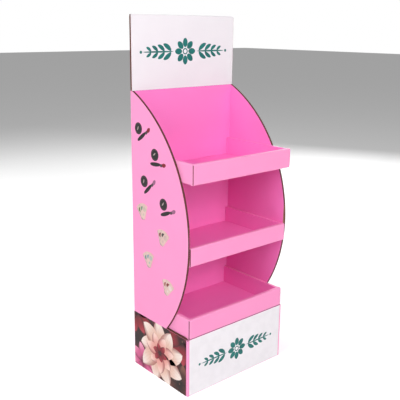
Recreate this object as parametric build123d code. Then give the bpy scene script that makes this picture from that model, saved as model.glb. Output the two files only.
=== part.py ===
from build123d import *
from math import sqrt
import os

# Cardboard floor display with three trays, folded from corrugated board.
# Millimetres, +Z up, the front faces -Y, origin at the bottom centre of the whole stand.

# Overall sizes
stand_width = 500.0
stand_depth = 335.0
side_height = 1100.0
base_height = 230.0
header_rise = 268.0

# Board and folds
board = 4.0
inner_fold_radius = 0.5
ply_gap = 0.4

# The curved front edge of the side panels is one arc from the shoulder down to the base:
# how far its widest point stays behind the base front, and its distance from the back at the base
curve_setback = 0.0
curve_foot_depth = 208.0

# Glued seam and flaps of the outer shell
glue_flap_width = 40.0
bottom_flap_length = 110.0
corner_notch_width = 5.0
corner_notch_depth = 3.0

# Header tongue
tongue_length = 150.0
tongue_corner_radius = 15.0
tongue_clearance = 2.0

# Trays: underside height, lip height and how far the lip stands in front of the base
tray_sizes = {
    "tray_bottom": {"underside": base_height, "lip": 76.0, "overhang": 0.0, "locked": False},
    "tray_middle": {"underside": 512.0, "lip": 68.0, "overhang": 4.0, "locked": True},
    "tray_top": {"underside": 808.0, "lip": 73.0, "overhang": 16.0, "locked": True},
}
rim_play = 2.0
tray_clearance = 0.5
corner_flap_length = 40.0
lock_length = 45.0
lock_clearance = 0.6
lock_reach_clearance = 0.3
front_lock_setback = 95.0
rear_lock_inset = 35.0
rear_tongue_width = 80.0
rear_tongue_spacing = 240.0

# Ribs inside the base
rib_clearance = 0.5
rib_spacing = 220.0
rib_slot_clearance = 0.5

# Sizes and places worked out from the ones above
fold_radius = board + inner_fold_radius
back_gap = board + ply_gap
rim_width = 3 * board + rim_play
front_overhang = max(size["overhang"] for size in tray_sizes.values())
total_depth = stand_depth + front_overhang
total_height = side_height + header_rise
back_y = total_depth / 2
front_y = back_y - stand_depth
half_width = stand_width / 2
shell_inner_x = half_width - board
liner_inner_x = shell_inner_x - board
shell_inner_back = back_y - board
liner_back = shell_inner_back - back_gap
liner_inner_back = liner_back - board
liner_front = front_y + board + rib_clearance
tray_half_width = liner_inner_x - tray_clearance
tray_back = liner_inner_back - tray_clearance
locked_trays = [size for size in tray_sizes.values() if size["locked"]]

# The arc's circle: it meets the shoulder and the foot, and its widest point touches curve_depth.
# With run as a point's distance behind the widest point, rise ** 2 = 2 * radius * run - run ** 2,
# and the two rises add up to the curved height, which leaves one quadratic for the radius.
curve_depth = stand_depth - curve_setback
shoulder_depth = 2 * board + back_gap
curved_height = side_height - base_height
shoulder_run = curve_depth - shoulder_depth
foot_run = curve_depth - curve_foot_depth
rise_start = (curved_height - (shoulder_run ** 2 - foot_run ** 2) / curved_height) / 2
rise_slope = (shoulder_run - foot_run) / curved_height
half_linear = shoulder_run - rise_start * rise_slope
constant = rise_start ** 2 + shoulder_run ** 2
curve_radius = constant / (half_linear + sqrt(half_linear ** 2 - rise_slope ** 2 * constant))
curve_apex_height = side_height - rise_start - rise_slope * curve_radius
curve_centre_y = back_y - curve_depth + curve_radius


def curve_y(height):
    """Y of the side panels' curved edge at a height."""
    return curve_centre_y - sqrt(curve_radius ** 2 - (height - curve_apex_height) ** 2)


def box(x_range, y_range, z_range):
    """A box between two limits on each axis."""
    size = [high - low for low, high in (x_range, y_range, z_range)]
    centre = [(low + high) / 2 for low, high in (x_range, y_range, z_range)]
    return Pos(*centre) * Box(*size)


def extrude_along_x(outline, x_range):
    """Extrude an outline drawn as (Y, Z) along X."""
    face = Plane.YZ * outline
    return Pos(x_range[0], 0, 0) * extrude(face, x_range[1] - x_range[0])


def extrude_along_y(outline, y_range):
    """Extrude an outline drawn as (X, Z) along Y."""
    face = Plane.XZ * outline
    return Pos(0, y_range[1], 0) * extrude(face, y_range[1] - y_range[0])


def rectangle(x_range, y_range, radius=0.0):
    """A rectangle between limits, with all its corners rounded if a radius is given."""
    width = x_range[1] - x_range[0]
    height = y_range[1] - y_range[0]
    shape = RectangleRounded(width, height, radius) if radius else Rectangle(width, height)
    return Pos((x_range[0] + x_range[1]) / 2, (y_range[0] + y_range[1]) / 2) * shape


def curve_cutter():
    """All that the side panels leave out in front of the curved edge and above the base."""
    clear = stand_depth
    foot = (curve_y(base_height), base_height)
    apex = (curve_centre_y - curve_radius, curve_apex_height)
    shoulder = (curve_y(side_height), side_height)
    edge = ThreePointArc(foot, apex, shoulder)
    rest = Polyline(
        shoulder,
        (shoulder[0], side_height + clear),
        (front_y - clear, side_height + clear),
        (front_y - clear, base_height),
        foot,
    )
    outline = make_face(Curve() + [edge, rest])
    return extrude_along_x(outline, (-stand_width, stand_width))


def lock_spans(size):
    """The Y spans of a tray's two side locks."""
    front_start = front_y - size["overhang"] + front_lock_setback
    rear_start = tray_back - rear_lock_inset - lock_length
    return [(start, start + lock_length) for start in (front_start, rear_start)]


def outer_shell():
    """Back, two sides and base front as one folded sheet with bottom flaps and a glued seam."""
    inside = rectangle(
        (-shell_inner_x, shell_inner_x), (front_y + board, shell_inner_back), inner_fold_radius
    )
    base_plan = rectangle((-half_width, half_width), (front_y, back_y), fold_radius) - inside
    side_plan = rectangle((-half_width, half_width), (front_y - stand_depth, back_y), fold_radius)
    side_plan -= rectangle(
        (-shell_inner_x, shell_inner_x), (front_y - 2 * stand_depth, shell_inner_back), inner_fold_radius
    )
    side_plan -= rectangle((-stand_width, stand_width), (front_y - 2 * stand_depth, front_y))
    upper = Pos(0, 0, base_height) * extrude(side_plan, side_height - base_height)
    shell = extrude(base_plan, base_height) + (upper - curve_cutter())
    glue_flap = box(
        (shell_inner_x - glue_flap_width, shell_inner_x),
        (shell_inner_back - board, shell_inner_back),
        (board, side_height),
    )
    flap_half = shell_inner_x - fold_radius
    front_flap = box((-flap_half, flap_half), (front_y + board, front_y + bottom_flap_length), (0, board))
    rear_flap = box((-flap_half, flap_half), (back_y - bottom_flap_length, back_y - board), (0, board))
    shell += [glue_flap, front_flap, rear_flap]
    for side in (-1, 1):
        notch = Pos(side * half_width, front_y, base_height) * Box(
            2 * corner_notch_width, 2 * corner_notch_width, 2 * corner_notch_depth
        )
        shell -= notch
    return shell


def inner_liner():
    """U-folded sheet that lines the back and both sides, slotted for the trays."""
    reach = shell_inner_x + stand_depth
    plan = rectangle(
        (-shell_inner_x, shell_inner_x), (liner_front - stand_depth, liner_back), fold_radius
    )
    plan -= rectangle(
        (-liner_inner_x, liner_inner_x), (liner_front - reach, liner_inner_back), inner_fold_radius
    )
    plan -= rectangle((-reach, reach), (liner_front - 2 * reach, liner_front))
    height = side_height - board
    liner = Pos(0, 0, board) * extrude(plan, height) - curve_cutter()
    for size in locked_trays:
        slot_z = (size["underside"], size["underside"] + board + lock_clearance)
        for side in (-1, 1):
            slot_x = sorted((side * (liner_inner_x - board), side * (shell_inner_x + board)))
            for start, end in lock_spans(size):
                liner -= box(slot_x, (start - lock_clearance, end + lock_clearance), slot_z)
            tongue_x = side * rear_tongue_spacing / 2
            half_slot = rear_tongue_width / 2 + lock_clearance
            liner -= box(
                (tongue_x - half_slot, tongue_x + half_slot),
                (liner_inner_back - board, liner_back + board),
                slot_z,
            )
    return liner


def header_card():
    """One sheet folded flat over its top edge; the rear ply runs on down as a tongue."""
    rear = shell_inner_back - ply_gap / 2
    front = liner_inner_back
    outer_radius = (rear - front) / 2
    inner_radius = outer_radius - board
    fold_z = total_height - outer_radius
    tongue_z = side_height - tongue_length
    ply_back = front + board
    edge = Polyline((front, fold_z), (front, side_height), (ply_back, side_height), (ply_back, fold_z))
    inner_fold = ThreePointArc(
        (ply_back, fold_z), (front + outer_radius, fold_z + inner_radius), (rear - board, fold_z)
    )
    tongue = Polyline((rear - board, fold_z), (rear - board, tongue_z), (rear, tongue_z), (rear, fold_z))
    outer_fold = ThreePointArc((rear, fold_z), (front + outer_radius, total_height), (front, fold_z))
    outline = make_face(Curve() + [edge, inner_fold, tongue, outer_fold])
    card = extrude_along_x(outline, (-half_width, half_width))
    tongue_half = shell_inner_x - glue_flap_width - tongue_clearance
    trim = rectangle((-stand_width, stand_width), (tongue_z - board, side_height))
    keep_z = (tongue_z, side_height + tongue_length)
    keep = rectangle((-tongue_half, tongue_half), keep_z, tongue_corner_radius)
    return card - extrude_along_y(trim - keep, (liner_inner_back - board, back_y))


def folded_tray(size):
    """One folded sheet: floor, rolled side walls, rolled front lip and, if locked, its tongues."""
    low = size["underside"]
    high = low + size["lip"]
    lip_y = front_y - size["overhang"]
    lip_back = lip_y + rim_width
    floor_top = low + board
    half = tray_half_width
    inner_half = half - rim_width
    inside_top = high + stand_depth

    # Side walls and floor, drawn across the tray
    section = rectangle((-half, half), (low, high), fold_radius)
    section -= rectangle((-inner_half, inner_half), (floor_top, inside_top))
    for side in (-1, 1):
        hollow = sorted((side * (half - board), side * (inner_half + board)))
        slit = sorted((side * (inner_half + 2 * board), side * (inner_half - board)))
        section -= rectangle(hollow, (floor_top, high - board))
        section -= rectangle(slit, (floor_top, floor_top + ply_gap))
    tray = extrude_along_y(section, (lip_back, tray_back))

    # Front lip, drawn along the tray
    lip_section = rectangle((lip_y, lip_back + 2 * fold_radius), (low, high), fold_radius)
    lip_section -= rectangle((lip_back, lip_back + stand_depth), (floor_top, inside_top))
    lip_section -= rectangle((lip_back, lip_back + stand_depth), (low - board, floor_top))
    lip_section -= rectangle((lip_y + board, lip_back - board), (floor_top, high - board))
    lip_section -= rectangle((lip_y + 2 * board, lip_back), (floor_top, floor_top + ply_gap))
    tray += extrude_along_x(lip_section, (-half, half))

    # Side walls run on behind the lip, and their flaps are glued to it
    for side in (-1, 1):
        wall_x = sorted((side * half, side * (half - board)))
        flap_x = sorted((side * (half - board), side * (half - board - corner_flap_length)))
        tray += box(wall_x, (lip_y + board, lip_back), (floor_top, high - board))
        tray += box(flap_x, (lip_y + board, lip_y + 2 * board), (floor_top + ply_gap, high - board - ply_gap))

    if size["locked"]:
        lock_end = shell_inner_x - lock_reach_clearance
        for side in (-1, 1):
            lock_x = sorted((side * (half - fold_radius), side * lock_end))
            for span in lock_spans(size):
                tray += box(lock_x, span, (low, floor_top))
            tongue_x = side * rear_tongue_spacing / 2
            tray += box(
                (tongue_x - rear_tongue_width / 2, tongue_x + rear_tongue_width / 2),
                (tray_back - board, liner_back - lock_reach_clearance),
                (low, floor_top),
            )
    return tray


def base_rib_long():
    """Rib across the base, slotted from its top for the two cross ribs."""
    mid_y = (liner_front + liner_inner_back) / 2
    half = liner_inner_x - rib_clearance
    rib = box((-half, half), (mid_y - board / 2, mid_y + board / 2), (board, base_height))
    slot_half = board / 2 + rib_slot_clearance / 2
    slot_y = (mid_y - board, mid_y + board)
    slot_z = ((board + base_height) / 2, base_height)
    for side in (-1, 1):
        slot_x = side * rib_spacing / 2
        rib -= box((slot_x - slot_half, slot_x + slot_half), slot_y, slot_z)
    return rib


def base_rib_cross(side):
    """Rib from front to back, slotted from its foot to drop over the long rib."""
    mid_x = side * rib_spacing / 2
    mid_y = (liner_front + liner_inner_back) / 2
    rib_y = (front_y + board + rib_clearance, liner_inner_back - rib_clearance)
    rib = box((mid_x - board / 2, mid_x + board / 2), rib_y, (board, base_height))
    slot_half = board / 2 + rib_slot_clearance / 2
    slot_x = (mid_x - board, mid_x + board)
    slot_z = (board, (board + base_height) / 2)
    return rib - box(slot_x, (mid_y - slot_half, mid_y + slot_half), slot_z)


pieces = {
    "outer_shell": outer_shell(),
    "inner_liner": inner_liner(),
    "header_card": header_card(),
    "base_rib_long": base_rib_long(),
    "base_rib_left": base_rib_cross(-1),
    "base_rib_right": base_rib_cross(1),
}
for tray_name, tray_size in tray_sizes.items():
    pieces[tray_name] = folded_tray(tray_size)

os.makedirs("parts", exist_ok=True)
for name, shape in pieces.items():
    export_step(shape, f"parts/{name}.step")
    print(name, round(shape.volume / 1000), "cm3")
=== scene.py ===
import bpy
from math import cos, pi, radians, sin, sqrt
from mathutils import Matrix, Vector


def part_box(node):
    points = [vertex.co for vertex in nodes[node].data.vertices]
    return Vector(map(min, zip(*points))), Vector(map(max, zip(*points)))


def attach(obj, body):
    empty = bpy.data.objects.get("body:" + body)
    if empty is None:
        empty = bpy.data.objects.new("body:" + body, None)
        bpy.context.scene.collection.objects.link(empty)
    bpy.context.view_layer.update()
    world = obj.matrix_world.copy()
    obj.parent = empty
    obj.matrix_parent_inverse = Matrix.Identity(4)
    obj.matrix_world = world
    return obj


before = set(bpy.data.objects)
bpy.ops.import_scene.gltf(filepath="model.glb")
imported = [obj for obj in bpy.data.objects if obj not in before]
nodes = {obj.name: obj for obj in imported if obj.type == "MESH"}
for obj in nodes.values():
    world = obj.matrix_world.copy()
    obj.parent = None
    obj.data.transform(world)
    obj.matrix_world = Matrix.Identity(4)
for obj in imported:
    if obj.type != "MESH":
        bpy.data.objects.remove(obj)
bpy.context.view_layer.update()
mm = 0.001
bpy.ops.object.select_all(action="DESELECT")
print("frame loaded:", len(nodes), "CAD nodes")

# Places that everything below starts from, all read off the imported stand
shellLow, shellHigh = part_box("outer_shell")
linerLow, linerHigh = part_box("inner_liner")
headerLow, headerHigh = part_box("header_card")
halfWidth, frontY, backY, sideTop = shellHigh.x, shellLow.y, shellHigh.y, shellHigh.z
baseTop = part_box("tray_bottom")[0].z
shoulderY = headerLow.y
board = shellHigh.x - linerHigh.x
trays = ("tray_bottom", "tray_middle", "tray_top")

# Corrugated board as its cut edges show it
boardMake = {
    "flutePitch": 8 * mm,
    "liner": 0.45 * mm,
    "medium": 0.4 * mm,
    "foldRadius": 4.5 * mm,  # outside radius of a folded board
    "proud": 0.6 * mm,  # how far liners and flutes stand out of the cut face
    "sunk": 0.1 * mm,
    "stepsPerFlute": 10,
}


class Value:
    # an output socket; arithmetic on it adds Math nodes
    def __init__(self, finish, socket):
        self.finish = finish
        self.socket = socket

    def math(self, operation, *inputs):
        return self.finish.node("ShaderNodeMath", {"operation": operation}, dict(enumerate(inputs)))

    def __add__(self, other):
        return self.math("ADD", self, other)

    def __sub__(self, other):
        return self.math("SUBTRACT", self, other)

    def __rsub__(self, other):
        return self.math("SUBTRACT", other, self)

    def __mul__(self, other):
        return self.math("MULTIPLY", self, other)

    def __lt__(self, other):
        return self.math("LESS_THAN", self, other)

    def __gt__(self, other):
        return self.math("GREATER_THAN", self, other)

    def __abs__(self):
        return self.math("ABSOLUTE", self)

    def root(self):
        return self.math("SQRT", self)

    def sine(self):
        return self.math("SINE", self)

    def least(self, other):
        return self.math("MINIMUM", self, other)

    def most(self, other):
        return self.math("MAXIMUM", self, other)

    def ramp(self, start, end):
        # 0 at start, 1 at end, smooth between
        settings = {"interpolation_type": "SMOOTHSTEP"}
        return self.finish.node("ShaderNodeMapRange", settings, {0: self, 1: start, 2: end})

    __radd__ = __add__
    __rmul__ = __mul__


class Nodes:
    # a node tree and the one way in which its nodes are made
    def __init__(self, tree, shader):
        self.tree = tree
        self.shader = tree.nodes[shader]

    def node(self, kind, settings, inputs, output=0):
        made = self.tree.nodes.new(kind)
        for key, value in settings.items():
            setattr(made, key, value)
        for key, value in inputs.items():
            self.feed(made.inputs[key], value)
        return Value(self, made.outputs[output])

    def feed(self, socket, value):
        if isinstance(value, Value):
            self.tree.links.new(value.socket, socket)
        else:
            socket.default_value = value

    def put(self, **sockets):
        for name, value in sockets.items():
            self.feed(self.shader.inputs[name.replace("_", " ")], value)


class Finish(Nodes):
    # a board, ink or floor material and what its patterns are built from
    def __init__(self, name):
        self.material = bpy.data.materials.new(name)
        self.material.use_nodes = True
        super().__init__(self.material.node_tree, "Principled BSDF")
        self.object = self.node("ShaderNodeTexCoord", {}, {}, "Object")

    def split(self, vector):
        parts = self.node("ShaderNodeSeparateXYZ", {}, {0: vector})
        return [Value(self, socket) for socket in parts.socket.node.outputs]

    def facing(self):
        return self.split(self.node("ShaderNodeNewGeometry", {}, {}, "True Normal"))

    def noise(self, scale, detail=2.0, roughness=0.5, where=None):
        inputs = {"Vector": where or self.object, "Scale": scale, "Detail": detail, "Roughness": roughness}
        return self.node("ShaderNodeTexNoise", {}, inputs)

    def stretched(self, scale):
        return self.node("ShaderNodeMapping", {}, {"Vector": self.object, "Scale": scale})

    def mix(self, factor, first, second, way="MIX"):
        settings = {"data_type": "RGBA", "blend_type": way}
        return self.node("ShaderNodeMix", settings, {0: factor, 6: first, 7: second}, 2)

    def bump(self, height, distance):
        # height runs from 0 to 1 and distance is its size in metres
        return self.node("ShaderNodeBump", {}, {"Strength": 1.0, "Distance": distance, "Height": height})


def srgb(red, green, blue):
    # a colour as a picture editor names it, 0 to 255, in Blender's linear values
    def linear(value):
        value /= 255
        return value / 12.92 if value <= 0.04045 else ((value + 0.055) / 1.055) ** 2.4

    return (linear(red), linear(green), linear(blue), 1.0)


boardLooks = {
    "pink": srgb(249, 152, 200),
    "pinkInside": srgb(251, 133, 205),  # painted shade: the lining and the trays' insides get a deeper, more saturated pink that stands in for the shade inside the stand
    "white": srgb(236, 232, 236),
    "kraft": srgb(176, 138, 100),
    "hollow": srgb(52, 24, 22),  # painted shade: the dark of the deep hollows between the flutes, laid on the flat cut face
    "flute": srgb(120, 74, 62),
    "cutLiner": srgb(150, 100, 90),
    # worn, cracked ink at edges and folds, and also a painted highlight along the folds
    "crackedInk": srgb(255, 226, 240),
    "fibres": 900,  # noise scale of paper fibre
    "cutFibres": 1500,
    "wearReach": 5 * mm,  # how far worn print and the painted highlight along folds reach in from an edge
    "wear": 0.45,
    "printRough": 0.5,
    "kraftRough": 0.85,
    "shine": 0.4,
}


def edgeNearness(finish, low, high, reach):
    # 1 on the nearest edge of the node's box, 0 at reach and beyond
    axes = finish.split(finish.object)
    depths = []
    for axis, start, end in zip(axes, low, high):
        depths.append((end - start) / 2 - abs(axis - (start + end) / 2))
    first, second, third = depths
    nearest = first.least(second)
    between = first.most(second).least(third)
    return nearest.most(between).ramp(reach, 0)


def boardFinish(name, low, high, printed, cutWhere, bareWhere=None, shadedInsideWhere=None):
    f = Finish(name)
    x, y, z = f.split(f.object)
    nx, ny, nz = f.facing()
    fibres = f.noise(boardLooks["fibres"], 4, 0.65)
    mottle = f.noise(11, 3, 0.55)
    level = abs(nz) > 0.7
    across = z + (y - z) * level  # flutes run level, so their print-through follows height or depth
    ridges = (across * (2 * pi / boardMake["flutePitch"])).sine()
    cut = cutWhere(f, (x, y, z), (nx, ny, nz))
    # lighter patches near the node's box edges: worn, cracked ink, and partly a painted highlight along the
    # folds
    wornAndHighlit = edgeNearness(f, low, high, boardLooks["wearReach"]) * f.noise(260, 4, 0.7).ramp(0.5, 0.66)
    # painted shade: the faces inside the stand take a deeper pink that stands in for the shade of its
    # interior
    if shadedInsideWhere:
        printed = f.mix(shadedInsideWhere(f, (x, y, z), (nx, ny, nz)), printed, boardLooks["pinkInside"])
    paint = f.mix(mottle.ramp(0.3, 0.7), printed, (0.985, 0.98, 0.985, 1), "MULTIPLY")
    speck = f.mix(fibres.ramp(0.25, 0.75) * 0.5, paint, (0.95, 0.94, 0.95, 1), "MULTIPLY")
    paint = f.mix(wornAndHighlit * boardLooks["wear"], speck, boardLooks["crackedInk"])
    rough = boardLooks["printRough"] + fibres * 0.12
    if bareWhere:
        bare = bareWhere(f, (x, y, z), (nx, ny, nz))
        paint = f.mix(bare, paint, kraftPaint(f, fibres))
        rough = rough + bare * 0.3
    # painted shade: cut faces are coloured a dark brown that stands in for the shade deep in the flute
    # hollows
    darkCutShade = f.mix(fibres, boardLooks["hollow"], boardLooks["flute"])
    paint = f.mix(cut, paint, f.mix(0.25, boardLooks["hollow"], darkCutShade))
    height = fibres * 0.35 + ridges * 0.3 * (1 - cut)
    f.put(
        Base_Color=paint,
        Roughness=rough + cut * 0.3,
        Normal=f.bump(height, 0.07 * mm),
        Specular_IOR_Level=boardLooks["shine"],
    )
    return f.material


def kraftPaint(f, fibres):
    streaks = f.noise(60, 4, 0.6, f.stretched((1, 1, 9)))
    tone = f.mix(streaks.ramp(0.3, 0.7), boardLooks["kraft"], srgb(150, 113, 78))
    return f.mix(fibres.ramp(0.45, 0.8) * 0.5, tone, srgb(205, 170, 130))


def arcBand(f, place):
    # within half a millimetre of the side panels' curved edge
    x, y, z = place
    away = ((y - curveY) * (y - curveY) + (z - curveZ) * (z - curveZ)).root()
    return (abs(away - curveRadius) < 0.3 * mm) * (z > baseTop + 0.2 * mm)


def shellCut(f, place, facing):
    nx, ny, nz = facing
    return (abs(nz) > 0.7).most(arcBand(f, place) * (abs(nx) < 0.5))


def shellBare(f, place, facing):
    # the inside of the shell, and of the base, isn't printed
    x, y, z = place
    nx, ny, nz = facing
    return (nx * x + ny * (y - (frontY + backY) / 2)) < 0


def linerBare(f, place, facing):
    return 1 - shellBare(f, place, facing)


def headerCut(f, place, facing):
    nx, ny, nz = facing
    return (abs(nx) > 0.7).most(nz < -0.7)


def lipEndCut(name):
    low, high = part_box(name)
    corner = boardMake["foldRadius"]

    def where(f, place, facing):
        # the lip's outer ply ends raw; the side wall's print covers the rest of the end
        x, y, z = place
        nx, ny, nz = facing
        ply = y < low.y + board
        return (abs(nx) > 0.7) * ply * (z > low.z + corner / 3) * (z < high.z - corner / 3)

    return where


def trayShadedInside(name):
    # the floor and the walls' inner faces: all that faces into the tray and lies below its rim, where the
    # deeper pink of painted shade goes
    low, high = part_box(name)
    rim = 3 * board

    def where(f, place, facing):
        x, y, z = place
        nx, ny, nz = facing
        clear = (abs(x) < high.x - rim) * (y > low.y + rim)
        return clear * (z > low.z + board / 2) * (nz > -0.5)

    return where


def kraftFinish(name):
    f = Finish(name)
    fibres = f.noise(boardLooks["fibres"], 4, 0.65)
    f.put(
        Base_Color=kraftPaint(f, fibres),
        Roughness=boardLooks["kraftRough"] + fibres * 0.1,
        Normal=f.bump(fibres, 0.06 * mm),
        Specular_IOR_Level=0.2,
    )
    return f.material


def cutFinish(name, tone, dark):
    # torn and cut paper fibre on the ends of liners and flutes
    f = Finish(name)
    fibres = f.noise(boardLooks["cutFibres"], 4, 0.7)
    f.put(
        Base_Color=f.mix(fibres.ramp(0.3, 0.7), dark, tone),
        Roughness=0.85 + fibres * 0.1,
        Normal=f.bump(fibres, 0.1 * mm),
        Specular_IOR_Level=0.2,
    )
    return f.material


# The side panels' curved front edge is one arc from the base up to the shoulder, and its widest
# point is level with the base front
sideCurve = {"footDepth": 208 * mm}  # from the back of the stand to the foot of the arc


def riseOver(run, radius):
    return sqrt(2 * radius * run - run ** 2)


def solveCurve():
    footRun = backY - sideCurve["footDepth"] - frontY
    shoulderRun = shoulderY - frontY
    small, large = shoulderRun, 10.0
    for _ in range(60):
        radius = (small + large) / 2
        if riseOver(footRun, radius) + riseOver(shoulderRun, radius) < sideTop - baseTop:
            small = radius
        else:
            large = radius
    return frontY + radius, baseTop + riseOver(footRun, radius), radius


curveY, curveZ, curveRadius = solveCurve()
print("side curve radius", round(curveRadius / mm, 1), "mm")


def finishNodes():
    cutTests = {"outer_shell": shellCut, "inner_liner": shellCut, "header_card": headerCut}
    bareTests = {"outer_shell": shellBare, "inner_liner": linerBare}
    shadedInsideTests = {}
    tones = {"header_card": "white", "inner_liner": "pinkInside"}
    for name in trays:
        cutTests[name] = lipEndCut(name)
        shadedInsideTests[name] = trayShadedInside(name)
    for name, piece in nodes.items():
        if name in cutTests:
            printed = boardLooks[tones.get(name, "pink")]
            tests = (cutTests[name], bareTests.get(name), shadedInsideTests.get(name))
            finish = boardFinish(name + "_finish", *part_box(name), printed, *tests)
        else:
            finish = kraftFinish(name + "_finish")
        for slot in piece.material_slots:
            slot.material = finish


finishNodes()
print("boards finished")


def joined(parts, name):
    bpy.ops.object.select_all(action="DESELECT")
    for part in parts:
        part.select_set(True)
    bpy.context.view_layer.objects.active = parts[0]
    if len(parts) > 1:
        bpy.ops.object.join()
    piece = bpy.context.view_layer.objects.active
    piece.name = name
    piece.data.name = name
    bpy.ops.object.select_all(action="DESELECT")
    return piece


def closedOutwards(piece):
    bpy.ops.object.select_all(action="DESELECT")
    piece.select_set(True)
    bpy.context.view_layer.objects.active = piece
    bpy.ops.object.mode_set(mode="EDIT")
    bpy.ops.mesh.select_all(action="SELECT")
    bpy.ops.mesh.normals_make_consistent(inside=False)
    bpy.ops.object.mode_set(mode="OBJECT")
    bpy.ops.object.select_all(action="DESELECT")


def thickened(piece, thickness, offset):
    bpy.ops.object.select_all(action="DESELECT")
    piece.select_set(True)
    bpy.context.view_layer.objects.active = piece
    modifier = piece.modifiers.new("thickness", "SOLIDIFY")
    modifier.thickness = thickness
    modifier.offset = offset
    bpy.ops.object.modifier_apply(modifier=modifier.name)


def keep(piece):
    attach(piece, "root")


def ribbon(track, span, steps, offset, thickness, finish):
    # one sheet of the board seen end on: it follows the track, set off across the board
    bpy.ops.mesh.primitive_grid_add(x_subdivisions=steps, y_subdivisions=1, size=1, location=(0, 0, 0))
    strip = bpy.context.object
    start, end = span
    for corner in strip.data.vertices:
        along = start + (corner.co.x + 0.5) * (end - start)
        centre, outward, across = track(along)
        reach = boardMake["proud"] if corner.co.y > 0 else -boardMake["sunk"]
        corner.co = centre + across * offset(along) + outward * reach
    thickened(strip, thickness, 0)
    strip.data.materials.append(finish)
    return strip


def cutEdge(name, track, span, waves):
    # two liners with the flutes between them, or a level run of the medium where the cut follows it
    liner, medium = boardMake["liner"], boardMake["medium"]
    toLiner = board / 2 - liner / 2 - 0.02 * mm
    height = board / 2 - liner - medium / 2
    turns = 2 * pi / boardMake["flutePitch"]
    length = span[1] - span[0]
    plain = max(2, round(length / (4 * boardMake["flutePitch"])) * 4)
    fine = round(length / boardMake["flutePitch"] * boardMake["stepsPerFlute"])

    def flutes(along):
        return height * (1 + 0.04 * sin(41 * along)) * sin(turns * along + 0.3 * sin(19 * along))

    def trough(along):
        return height * 0.5 * sin(7 * along) + 0.15 * mm * sin(55 * along)

    parts = [
        ribbon(track, span, plain, lambda along: toLiner, liner, cutLinerFinish),
        ribbon(track, span, plain, lambda along: -toLiner, liner, cutLinerFinish),
        ribbon(track, span, fine if waves else plain, flutes if waves else trough, medium, fluteFinish),
    ]
    piece = joined(parts, name)
    closedOutwards(piece)
    keep(piece)


def curvedTrack(x):
    def at(height):
        y = curveY - sqrt(curveRadius ** 2 - (height - curveZ) ** 2)
        outward = Vector((0, y - curveY, height - curveZ)).normalized()
        return Vector((x, y, height)), outward, Vector((1, 0, 0))

    return at


def ledgeTrack(x, level):
    def at(depth):
        return Vector((x, depth, level)), Vector((0, 0, 1)), Vector((1, 0, 0))

    return at


def foldedTrack(x, start, heading, moves):
    # the board's middle line seen end on: moves are (length, turn in degrees) from start (y, z)
    outward = Vector((1 if x > 0 else -1, 0, 0))

    def at(along):
        place, angle = Vector((0, *start)), radians(heading)
        for length, turn in moves:
            step = min(along, length)
            if turn:
                radius = length / radians(turn)
                swung = angle + radians(turn) * step / length
                place += radius * Vector((0, sin(swung) - sin(angle), cos(angle) - cos(swung)))
                angle = swung
            else:
                place += step * Vector((0, cos(angle), sin(angle)))
            along -= step
            if along <= 0:
                break
        return Vector((x, place.y, place.z)), outward, Vector((0, -sin(angle), cos(angle)))

    return at


def sideEdges():
    for side, tag in ((-1, "left"), (1, "right")):
        for sheet, face in (("shell", shellHigh.x), ("liner", linerHigh.x)):
            x = side * (face - board / 2)
            foot, top = baseTop + 1 * mm, sideTop - 1 * mm
            cutEdge(f"{sheet}_curve_edge_{tag}", curvedTrack(x), (foot, top), True)
            footY = backY - sideCurve["footDepth"] - 1 * mm
            ledge = (frontY + 2 * boardMake["foldRadius"], footY)
            cutEdge(f"{sheet}_ledge_edge_{tag}", ledgeTrack(x, baseTop), ledge, False)


def headerEdges():
    middle = boardMake["foldRadius"] - board / 2
    outer = (headerHigh.y - headerLow.y) / 2
    turnRadius = outer - board / 2
    straight = headerHigh.z - outer - sideTop - 1 * mm
    moves = [(straight, 0), (pi * turnRadius, -180), (straight, 0)]
    for side, tag in ((-1, "left"), (1, "right")):
        start = (headerLow.y + board / 2, sideTop + 1 * mm)
        track = foldedTrack(side * halfWidth, start, 90, moves)
        span = (0, sum(length for length, turn in moves))
        cutEdge(f"header_side_edge_{tag}", track, span, True)


def lipEdges():
    turnRadius = boardMake["foldRadius"] - board / 2
    swing = 55  # degrees of each fold that show on the lip's end
    bend = turnRadius * radians(swing)
    for name in trays:
        low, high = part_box(name)
        straight = high.z - low.z - 2 * boardMake["foldRadius"]
        moves = [(bend, -swing), (straight, 0), (bend, -swing)]
        startY = low.y + boardMake["foldRadius"] - turnRadius * cos(radians(swing))
        startZ = low.z + boardMake["foldRadius"] - turnRadius * sin(radians(swing))
        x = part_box("tray_bottom")[1].x
        for side, tag in ((-1, "left"), (1, "right")):
            track = foldedTrack(side * x, (startY, startZ), 90 + swing, moves)
            span = (0, sum(length for length, turn in moves))
            cutEdge(f"{name}_lip_end_{tag}", track, span, True)


cutLinerFinish = cutFinish("cut_liner_finish", boardLooks["cutLiner"], srgb(110, 66, 58))
fluteFinish = cutFinish("flute_finish", boardLooks["flute"], srgb(84, 46, 40))
sideEdges()
headerEdges()
lipEdges()
print("cut edges made")


# Printed shapes are thin films of ink, drawn flat (x to the right, y up) and then laid on their panel
inkLooks = {
    "fibres": 1100,  # noise scale of the fibres that show through ink
    "film": 0.12 * mm,  # one layer; a shape on layer 2 prints over one on layer 1
    "teal": srgb(13, 112, 106),
    "tealDeep": srgb(8, 98, 94),
    "black": srgb(22, 18, 20),
    "charcoal": srgb(70, 62, 64),
    "glint": srgb(176, 160, 156),
    "berry": srgb(122, 16, 30),
    "mauve": srgb(150, 96, 128),
    "card": srgb(222, 190, 182),
    "cardShade": srgb(178, 158, 152),
}


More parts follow.
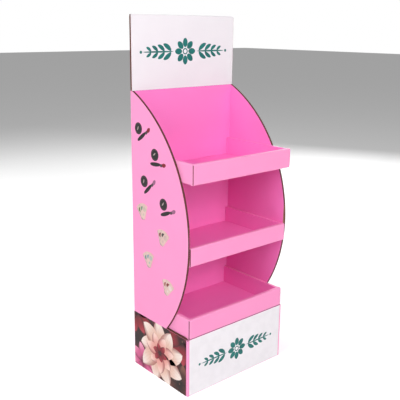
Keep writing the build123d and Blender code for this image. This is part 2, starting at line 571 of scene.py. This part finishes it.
def inkFinish(name, tone, edgeTone=None, rough=0.42):
    # flat ink, a little uneven where the board's fibres took less of it
    f = Finish(name)
    fibres = f.noise(inkLooks["fibres"], 4, 0.65)
    cloud = f.noise(30, 2)
    second = edgeTone or tuple(value * 0.9 for value in tone[:3]) + (1,)
    paint = f.mix(cloud.ramp(0.35, 0.7), tone, second)
    thin = f.mix(fibres.ramp(0.62, 0.8) * 0.18, paint, boardLooks["white"])
    f.put(
        Base_Color=thin,
        Roughness=rough + fibres * 0.12,
        Normal=f.bump(fibres, 0.03 * mm),
        Specular_IOR_Level=boardLooks["shine"],
    )
    return f.material


def petalFinish(name, heart, middle, tip, rim):
    # shaded from the petal's root to its tip and towards one rim, with faint veins
    f = Finish(name)
    along, across, _ = f.split(f.node("ShaderNodeTexCoord", {}, {}, "UV"))
    fibres = f.noise(inkLooks["fibres"], 4, 0.65)
    wander = f.noise(45, 3, 0.6)
    run = along + (wander - 0.5) * 0.25
    body = f.mix(run.ramp(0.05, 0.45), heart, f.mix(run.ramp(0.45, 0.95), middle, tip))
    shade = (across + (wander - 0.5) * 0.2).ramp(0.62, 1.0)
    veins = ((across - 0.5) * 64 * (1.2 - along)).sine().ramp(0.8, 1.0) * 0.16
    paint = f.mix(veins, f.mix(shade * 0.75, body, rim), rim)
    f.put(
        Base_Color=f.mix(fibres.ramp(0.62, 0.8) * 0.12, paint, boardLooks["white"]),
        Roughness=0.4 + fibres * 0.12,
        Normal=f.bump(fibres, 0.03 * mm),
        Specular_IOR_Level=boardLooks["shine"],
    )
    return f.material


def placed(finish, centre, layer, turn=0.0):
    piece = bpy.context.object
    piece.location = (centre[0], centre[1], layer * inkLooks["film"])
    piece.rotation_euler.z = radians(turn)
    piece.data.materials.append(finish)
    return piece


def petal(finish, start, heading, length, width, bend=0.0, layer=1, blunt=0.75):
    # a leaf-shaped strip that sets off at heading and has turned by bend at its tip
    bpy.ops.mesh.primitive_grid_add(x_subdivisions=16, y_subdivisions=2, size=1, location=(0, 0, 0))
    first = radians(heading)
    for corner in bpy.context.object.data.vertices:
        along = min(1.0, max(0.0, corner.co.x + 0.5))
        angle = first + radians(bend) * along
        if bend:
            radius = length / radians(bend)
            middle = Vector((sin(angle) - sin(first), cos(first) - cos(angle))) * radius
        else:
            middle = Vector((cos(first), sin(first))) * length * along
        half = corner.co.y * width * max(0.0, sin(pi * along)) ** blunt
        corner.co = (middle.x - sin(angle) * half, middle.y + cos(angle) * half, 0)
    return placed(finish, start, layer)


def disc(finish, centre, radius, layer=1, sides=40):
    bpy.ops.mesh.primitive_circle_add(vertices=sides, radius=radius, fill_type="NGON", location=(0, 0, 0))
    return placed(finish, centre, layer)


def ring(finish, centre, radius, band, layer=1):
    bpy.ops.mesh.primitive_circle_add(vertices=48, radius=radius, fill_type="NGON", location=(0, 0, 0))
    bpy.ops.object.mode_set(mode="EDIT")
    bpy.ops.mesh.inset(thickness=band)
    bpy.ops.mesh.delete(type="FACE")
    bpy.ops.object.mode_set(mode="OBJECT")
    return placed(finish, centre, layer)


def card(finish, centre, size, corner, layer=1, turn=0.0):
    bpy.ops.mesh.primitive_plane_add(size=1, location=(0, 0, 0))
    bpy.ops.object.mode_set(mode="EDIT")
    bpy.ops.transform.resize(value=(size[0], size[1], 1))
    bpy.ops.mesh.bevel(offset=corner, segments=5, affect="VERTICES")
    bpy.ops.object.mode_set(mode="OBJECT")
    return placed(finish, centre, layer, turn)


def printed(name, shapes, panel, window=None):
    # joins flat shapes, trims them to a window (left, right, low, high) and gives the film its thickness
    piece = joined(shapes, name)
    piece.select_set(True)
    bpy.ops.object.transform_apply(location=True, rotation=True, scale=True)
    bpy.ops.object.mode_set(mode="EDIT")
    bpy.ops.mesh.select_all(action="SELECT")
    bpy.ops.mesh.remove_doubles(threshold=0.02 * mm)
    if window:
        left, right, low, high = window
        cuts = (((left, 0, 0), (-1, 0, 0)), ((right, 0, 0), (1, 0, 0)))
        cuts += (((0, low, 0), (0, -1, 0)), ((0, high, 0), (0, 1, 0)))
        for point, outward in cuts:
            bpy.ops.mesh.select_all(action="SELECT")
            bpy.ops.mesh.bisect(plane_co=point, plane_no=outward, clear_outer=True)
    bpy.ops.mesh.select_all(action="SELECT")
    bpy.ops.mesh.extrude_region()
    bpy.ops.transform.resize(value=(1, 1, 0), center_override=(0, 0, 0))
    bpy.ops.object.mode_set(mode="OBJECT")
    closedOutwards(piece)
    piece.data.transform(panel)
    keep(piece)


def panelMatrix(origin, right, up):
    columns = Matrix((right, up, right.cross(up))).transposed().to_4x4()
    return Matrix.Translation(origin) @ columns


frontward = (Vector((1, 0, 0)), Vector((0, 0, 1)))
leftward = (Vector((0, -1, 0)), Vector((0, 0, 1)))
tealInk = inkFinish("teal_ink", inkLooks["teal"], inkLooks["tealDeep"])
whiteInk = inkFinish("white_ink", boardLooks["white"], srgb(232, 228, 232), 0.5)

ornament = {
    "petals": 8,
    "rosette": 50 * mm,  # radius
    "sprig": 142 * mm,  # length of each side's stem
    "leaf": 46 * mm,
    "leafWidth": 17 * mm,
    "leafPairs": 4,
}


def rosette(layer):
    shapes = []
    count, reach = ornament["petals"], ornament["rosette"]
    for step in range(count):
        heading = 360 / count * step
        start = Vector((cos(radians(heading)), sin(radians(heading)))) * reach * 0.3
        shapes.append(petal(tealInk, start, heading, reach * 0.7, reach * 0.46, 0, layer, 0.55))
    shapes.append(ring(tealInk, (0, 0), reach * 0.24, reach * 0.09, layer))
    return shapes


def sprig(side, layer):
    shapes = []
    start = ornament["rosette"] * 1.14
    stem, leaf = ornament["sprig"], ornament["leaf"]
    outward = 0 if side > 0 else 180
    shapes.append(petal(tealInk, (side * start, 0), outward, stem, 6 * mm, 0, layer, 0.4))
    for pair in range(ornament["leafPairs"]):
        root = side * (start + stem * (0.08 + 0.22 * pair))
        size = leaf * (1 - 0.14 * pair)
        for upper in (-1, 1):
            heading = outward + side * upper * 52
            bend = -side * upper * 34
            width = ornament["leafWidth"] * (1 - 0.12 * pair)
            shapes.append(petal(tealInk, (root, upper * 2 * mm), heading, size, width, bend, layer, 0.6))
    shapes.append(disc(tealInk, (side * (start + stem + 9 * mm), 0), 5.5 * mm, layer))
    return shapes


def headerPrint():
    centre = Vector((0, headerLow.y, (sideTop + headerHigh.z) / 2 + 2 * mm))
    shapes = rosette(1) + sprig(-1, 1) + sprig(1, 1)
    printed("header_ornament", shapes, panelMatrix(centre, *frontward))


baseField = {"margin": 8.5 * mm, "topMargin": 1.5 * mm, "bottomMargin": 1.5 * mm, "ornamentScale": 0.92}


def basePrint():
    low, high = baseField["bottomMargin"], baseTop - baseField["topMargin"]
    width = 2 * (halfWidth - baseField["margin"])
    centre = Vector((0, frontY, (low + high) / 2))
    field = card(whiteInk, (0, 0), (width, high - low), 2 * mm, 1)
    printed("base_front_field", [field], panelMatrix(centre, *frontward))
    shapes = rosette(2) + sprig(-1, 2) + sprig(1, 2)
    small = Matrix.Diagonal((baseField["ornamentScale"], baseField["ornamentScale"], 1, 1))
    printed("base_ornament", shapes, panelMatrix(centre, *frontward) @ small)


# Loose cosmetics on the left side: round compacts with brushes, and fans of colour cards
sideMotifs = {
    # distance from the back edge, height, turn in degrees, tones
    "compacts": [
        (72, 962, 18, "berry"),
        (163, 868, -12, "berry"),
        (104, 772, 24, "mauve"),
        (216, 700, 4, "mauve"),
    ],
    "fans": [
        (72, 640, 12, ((92, 112, 52), (120, 150, 128), (196, 184, 168))),
        (188, 566, -10, ((116, 18, 28), (66, 58, 60), (206, 176, 172))),
        (106, 458, 8, ((86, 128, 130), (128, 158, 170), (176, 184, 178))),
        (214, 380, -14, ((150, 84, 74), (124, 34, 44), (224, 208, 202))),
    ],
}


def compactAndBrush(inks, tip):
    shapes = [
        disc(inks["black"], (-20 * mm, 13 * mm), 22 * mm, 1),
        ring(inks["charcoal"], (-20 * mm, 13 * mm), 18.5 * mm, 1.6 * mm, 2),
        petal(inks["glint"], (-29 * mm, 8 * mm), 35, 18 * mm, 5 * mm, 30, 2),
        petal(inks["black"], (-40 * mm, -28 * mm), 14, 62 * mm, 15 * mm, 6, 1, 0.4),
        card(inks["charcoal"], (23 * mm, -11.5 * mm), (12 * mm, 11 * mm), 1.5 * mm, 2, 20),
        petal(inks[tip], (26 * mm, -10.5 * mm), 20, 25 * mm, 15 * mm, 8, 1, 0.6),
    ]
    return shapes


def cardFan(inks, tones):
    shapes = []
    for step, ink in enumerate(tones):
        turn = 30 - 30 * step
        reach = Vector((sin(radians(-turn)), cos(radians(turn)))) * 20 * mm
        shapes.append(card(inks["cardShade"], reach + Vector((-2 * mm, -2 * mm)), (25 * mm, 58 * mm), 4 * mm,
                           1 + 3 * step, turn))
        shapes.append(card(inks["card"], reach, (25 * mm, 58 * mm), 4 * mm, 2 + 3 * step, turn))
        shapes.append(disc(ink, reach * 1.45, 9 * mm, 3 + 3 * step))
        shapes.append(disc(ink, reach * 0.35, 5 * mm, 3 + 3 * step))
    return shapes


def sidePrints():
    plain = ("black", "charcoal", "glint", "berry", "mauve", "card", "cardShade")
    inks = {tone: inkFinish(tone + "_ink", inkLooks[tone]) for tone in plain}

    def spot(back, height, turn):
        origin = Vector((-halfWidth, backY - back * mm, height * mm))
        return panelMatrix(origin, *leftward) @ Matrix.Rotation(radians(turn), 4, "Z")

    for number, (back, height, turn, tip) in enumerate(sideMotifs["compacts"], 1):
        printed(f"side_compact_{number}", compactAndBrush(inks, tip), spot(back, height, turn))
    for number, (back, height, turn, tones) in enumerate(sideMotifs["fans"], 1):
        toneInks = [inkFinish(f"card_tone_{number}_{step}", srgb(*tone)) for step, tone in enumerate(tones)]
        printed(f"side_tone_cards_{number}", cardFan(inks, toneInks), spot(back, height, turn))


# The base's left side: large blossoms in skin, blush and berry tones on near-black
blossomPrint = {
    "frontMargin": 6 * mm,
    "ground": srgb(24, 9, 10),
    "groundWarm": srgb(88, 18, 24),
    # centre from the back and floor, petals, length, width, first heading, petal finish, bend
    "blossoms": [
        (20, 232, 9, 96, 46, 10, "berry", 24),
        (300, 214, 9, 104, 50, 4, "berry", -20),
        (58, 28, 8, 82, 44, 8, "mauve", 18),
        (286, 34, 8, 96, 46, 20, "umber", 22),
        (168, 112, 9, 134, 74, 6, "skin", 26),
        (168, 112, 7, 82, 50, 24, "blush", -18),
        (168, 112, 6, 42, 26, 40, "berry", 20),
    ],
}


def petalInks():
    white, skin = srgb(240, 226, 218), srgb(222, 182, 164)
    return {
        "skin": petalFinish("skin_petal", srgb(176, 104, 92), skin, white, srgb(150, 78, 70)),
        "blush": petalFinish("blush_petal", srgb(196, 88, 96), srgb(224, 160, 150), srgb(240, 208, 198),
                             srgb(140, 40, 52)),
        "berry": petalFinish("berry_petal", srgb(40, 8, 14), srgb(128, 18, 34), srgb(172, 52, 66),
                             srgb(54, 8, 16)),
        "mauve": petalFinish("mauve_petal", srgb(120, 40, 74), srgb(206, 92, 140), srgb(236, 160, 190),
                             srgb(110, 30, 62)),
        "umber": petalFinish("umber_petal", srgb(20, 8, 8), srgb(70, 34, 28), srgb(128, 82, 66),
                             srgb(28, 10, 10)),
    }


def blossomField():
    inks = petalInks()
    width = (backY - frontY) - blossomPrint["frontMargin"] - boardMake["foldRadius"]
    height = baseTop - 1 * mm
    ground = inkFinish("blossom_ground", blossomPrint["ground"], blossomPrint["groundWarm"])
    shapes = [card(ground, (width / 2, height / 2), (width, height), 1 * mm, 1)]
    layer = 1
    for back, low, count, length, wide, first, ink, bend in blossomPrint["blossoms"]:
        layer += 1
        for step in range(count):
            heading = first + 360 / count * step
            # neighbours take turns above and below each other
            over = layer + step % 2
            start = (back * mm, low * mm)
            size = 1 + 0.08 * cos(2.4 * step)
            shapes.append(petal(inks[ink], start, heading, length * size * mm, wide * mm, bend, over, 0.7))
        layer += 1
        shapes.append(disc(inks["umber"], (back * mm, low * mm), wide * 0.1 * mm, layer + 1))
    origin = Vector((-halfWidth, backY - boardMake["foldRadius"] / 2, 0.5 * mm))
    printed("base_side_blossoms", shapes, panelMatrix(origin, *leftward), (0, width, 0, height))


headerPrint()
basePrint()
sidePrints()
blossomField()
print("print laid on")


stageLooks = {
    "floorSpan": 60.0,
    "floorTone": srgb(247, 247, 247),
    "floorCloud": srgb(250, 250, 250),
    "floorLift": 0.3,  # added to what the camera sees of the floor, so that it reads as white
    "skyLight": 0.06,
}
lampDistance = 4.5
lamps = {
    # heading is round the stand from its front, clockwise seen from above
    "key": {"heading": -35, "height": 35, "size": 2.6, "power": 88},
    "front": {"heading": 0, "height": 20, "size": 2.6, "power": 82},
    "left": {"heading": -85, "height": 28, "size": 2.6, "power": 92},
    "right": {"heading": 118, "height": 22, "size": 2.6, "power": 85},
    "back": {"heading": 200, "height": 25, "size": 2.6, "power": 80},
}
cameraView = {
    "place": (-1.5853, -1.7533, 1.3241),
    "heading": 40.37,  # degrees from +Y towards +X
    "tilt": -15.34,
    "roll": 0.43,
    "lens": 57.1,
    "shift": (0.0178, 0.0035),
}


def aimed(item, place, aim):
    item.location = place
    item.rotation_euler = (Vector(aim) - Vector(place)).to_track_quat("-Z", "Y").to_euler()


def makeStage():
    bpy.ops.mesh.primitive_plane_add(size=stageLooks["floorSpan"], location=(0, 0, 0))
    ground = bpy.context.object
    ground.name = "floor"
    f = Finish("floor_finish")
    rays = f.node("ShaderNodeLightPath", {}, {}, "Is Camera Ray")
    cloud = f.noise(0.8, 2)
    tone = f.mix(cloud, stageLooks["floorTone"], stageLooks["floorCloud"])
    f.put(
        Base_Color=tone,
        Roughness=0.9,
        Specular_IOR_Level=0.0,
        Emission_Color=rays,
        Emission_Strength=stageLooks["floorLift"],
    )
    ground.data.materials.append(f.material)


def makeSky():
    world = bpy.data.worlds.new("studio")
    world.use_nodes = True
    bpy.context.scene.world = world
    sky = Nodes(world.node_tree, "Background")
    glossy, through = (
        sky.node("ShaderNodeLightPath", {}, {}, kind) for kind in ("Is Glossy Ray", "Is Transmission Ray")
    )
    seen = sky.node("ShaderNodeLightPath", {}, {}, "Is Camera Ray").most(glossy).most(through)
    levels = {"Value": seen, "To Min": stageLooks["skyLight"], "To Max": 1.0}
    level = sky.node("ShaderNodeMapRange", {}, levels)
    sky.put(Color=(1, 1, 1, 1), Strength=level)


def makeLamps():
    for name, lamp in lamps.items():
        light = bpy.data.lights.new(name, "AREA")
        light.shape = "DISK"
        light.size = lamp["size"]
        light.energy = lamp["power"]
        item = bpy.data.objects.new(name, light)
        bpy.context.scene.collection.objects.link(item)
        heading, height = radians(lamp["heading"]), radians(lamp["height"])
        aim = Vector((0, 0, headerHigh.z / 2))
        toLamp = Vector((sin(heading) * cos(height), -cos(heading) * cos(height), sin(height)))
        aimed(item, aim + toLamp * lampDistance, aim)


def makeCamera():
    camera = bpy.data.objects.new("camera", bpy.data.cameras.new("camera"))
    bpy.context.scene.collection.objects.link(camera)
    heading, tilt, roll = (radians(cameraView[key]) for key in ("heading", "tilt", "roll"))
    forward = Vector((sin(heading) * cos(tilt), cos(heading) * cos(tilt), sin(tilt)))
    right = Vector((cos(heading), -sin(heading), 0))
    up = right.cross(forward)
    turned = Matrix.Rotation(-roll, 3, forward)
    columns = Matrix((turned @ right, turned @ up, -forward)).transposed()
    camera.matrix_world = Matrix.Translation(cameraView["place"]) @ columns.to_4x4()
    camera.data.lens = cameraView["lens"]
    camera.data.shift_x, camera.data.shift_y = cameraView["shift"]
    camera.data.clip_end = 200
    bpy.context.scene.camera = camera


makeStage()
makeSky()
makeLamps()
makeCamera()
bpy.context.scene.view_settings.view_transform = "Standard"
print("stage, lamps and camera set")
